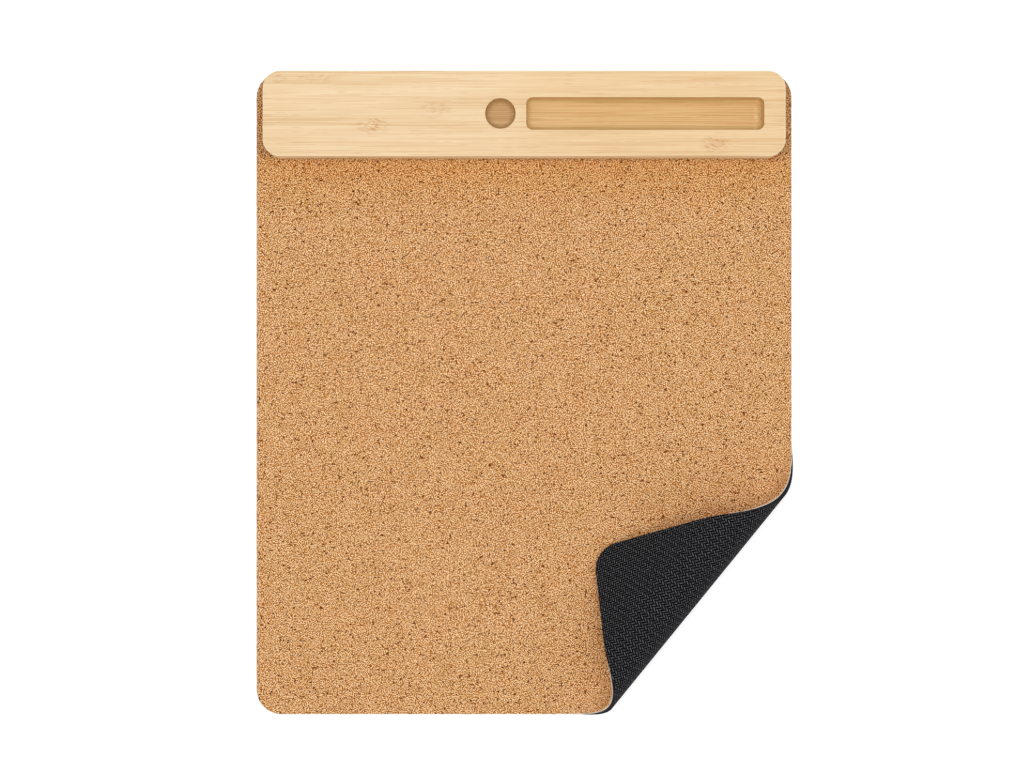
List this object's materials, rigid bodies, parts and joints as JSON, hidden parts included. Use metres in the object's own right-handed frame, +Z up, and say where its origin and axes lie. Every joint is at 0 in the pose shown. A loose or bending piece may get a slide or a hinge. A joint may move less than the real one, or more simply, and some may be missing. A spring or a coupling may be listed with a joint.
{
  "type": "mouse pad",
  "caption": "Rectangular cork mouse pad on a rubber base, with a wooden bar along the back edge that has a long pen tray and a round well, shown with a front corner folded over.",
  "frame": {"origin": "on the desk plane, under the middle of the flat pad", "axes": "+X to the right and +Y to the back as the user looks at the pad, +Z up; the wooden bar is at the back and the folded corner is at the front right"},
  "size_m": [0.2507, 0.3003, 0.028],
  "materials": {
    "rubber_base": "matt black, moulded on the underside with a fine stepped weave",
    "backing_cloth": "thin off-white woven cloth, seen only at its cut edge",
    "cork_surface": "pressed cork granules, sanded flat, unvarnished",
    "bar_tape": "thin double-sided adhesive sheet, hidden under the bar",
    "bamboo_bar": "pale bamboo with fine lengthwise grain, sanded and lightly sealed"
  },
  "bodies": {
    "root": {"rubber_base": "rubber_base", "backing_cloth": "backing_cloth", "cork_surface": "cork_surface", "bar_tape": "bar_tape", "bamboo_bar": "bamboo_bar"}
  },
  "joints": []
}
